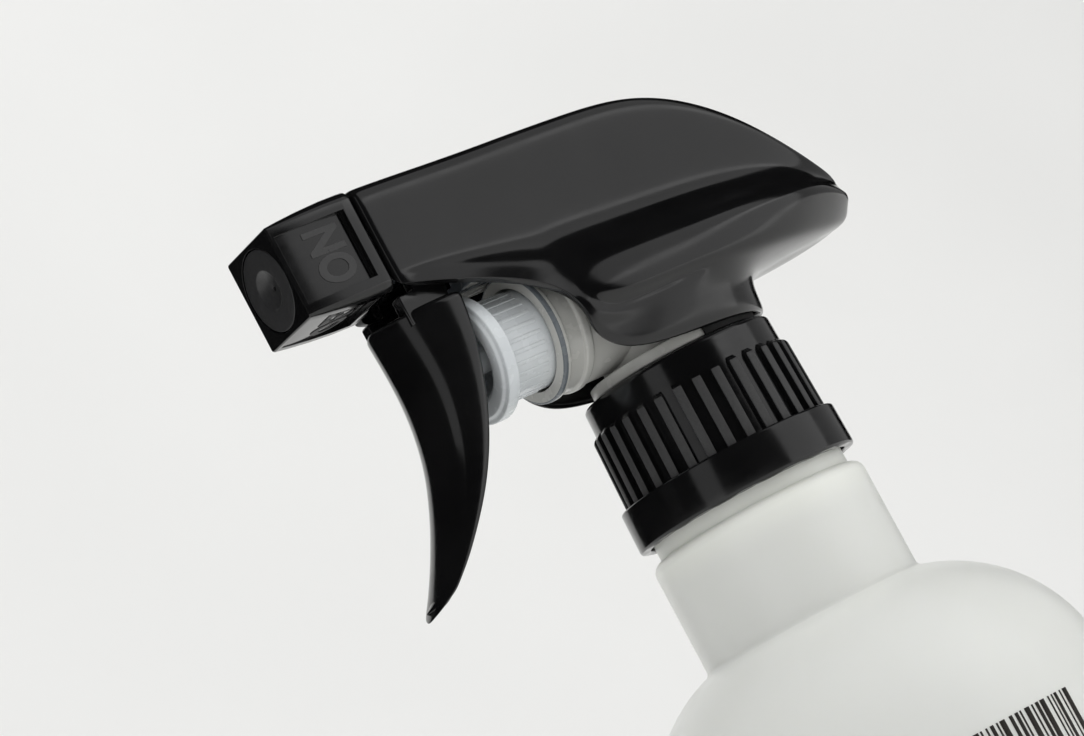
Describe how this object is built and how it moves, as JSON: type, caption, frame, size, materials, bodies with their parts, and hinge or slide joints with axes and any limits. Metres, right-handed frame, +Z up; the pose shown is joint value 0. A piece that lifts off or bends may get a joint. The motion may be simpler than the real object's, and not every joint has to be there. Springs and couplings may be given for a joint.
{
  "type": "trigger spray bottle",
  "caption": "Free-standing round trigger spray bottle: squeezing the trigger pumps liquid up a dip tube and out of a square nozzle that turns on and off.",
  "frame": {"origin": "centre of the bottle's base, on the plane it stands on", "axes": "+Z up along the bottle's axis; -X is where the nozzle points; Y is across the head"},
  "size_m": [0.098, 0.07, 0.232],
  "materials": {
    "bottle_plastic": "milky translucent blow-moulded plastic, satin",
    "black_plastic": "glossy black injection moulding",
    "black_matt": "fine matt black",
    "natural_plastic": "natural translucent plastic",
    "piston_plastic": "bluish white translucent plastic",
    "white_plastic": "white plastic",
    "foam_white": "foamed sealing liner",
    "seal_grey": "grey sealing rubber",
    "clear_tube": "natural translucent tube",
    "steel": "drawn stainless wire and ball"
  },
  "bodies": {
    "bottle": {"bottle": "bottle_plastic"},
    "head": {"pump_body": "natural_plastic", "shroud": "black_plastic", "tube_retainer": "white_plastic", "closure_gasket": "foam_white", "dip_tube": "clear_tube", "tube_strainer": "white_plastic", "piston_spring": "steel", "outlet_spring": "steel", "outlet_plug": "natural_plastic", "nose_bushing": "natural_plastic", "nozzle_seal": "seal_grey", "swirl_core": "white_plastic"},
    "collar": {"closure_collar": "black_plastic"},
    "trigger": {"trigger": "black_plastic"},
    "piston": {"piston": "piston_plastic", "piston_seal": "seal_grey"},
    "nozzle": {"nozzle_cap": "black_plastic", "orifice_disc": "black_matt"},
    "inlet_ball": {"inlet_ball": "steel"},
    "outlet_valve": {"outlet_valve": "white_plastic"}
  },
  "joints": [
    {"name": "head_lift", "type": "slide", "parent": "bottle", "child": "head", "axis": [0, 0, 1], "range_m": [0, 0.00634]},
    {"name": "collar_turn", "type": "hinge", "parent": "head", "child": "collar", "pos_m": [0, 0, 0.18], "axis": [0, 0, 1], "range_deg": [0, 540]},
    {"name": "trigger_squeeze", "type": "hinge", "parent": "head", "child": "trigger", "pos_m": [-0.034, 0, 0.2215], "axis": [0, -1, 0], "range_deg": [0, 21]},
    {"name": "piston_stroke", "type": "slide", "parent": "head", "child": "piston", "axis": [1, 0, 0], "range_m": [0, 0.00722], "stiffness_N_per_m": 900, "springref_m": -0.005, "deforming": ["piston_spring"]},
    {"name": "nozzle_turn", "type": "hinge", "parent": "head", "child": "nozzle", "pos_m": [-0.0476, 0, 0.2241], "axis": [-1, 0, 0], "continuous": true},
    {"name": "inlet_ball_lift", "type": "slide", "parent": "head", "child": "inlet_ball", "axis": [0, 0, 1], "range_m": [0, 0.001]},
    {"name": "outlet_valve_lift", "type": "slide", "parent": "head", "child": "outlet_valve", "axis": [0, 0, 1], "range_m": [0, 0.0012], "stiffness_N_per_m": 60, "springref_m": -0.002, "deforming": ["outlet_spring"]}
  ],
  "couplings": [
    {"joint": "trigger_squeeze", "follows": "piston_stroke", "rad_per_m": 50.76},
    {"joint": "collar_turn", "follows": "head_lift", "rad_per_m": 1485.4}
  ]
}
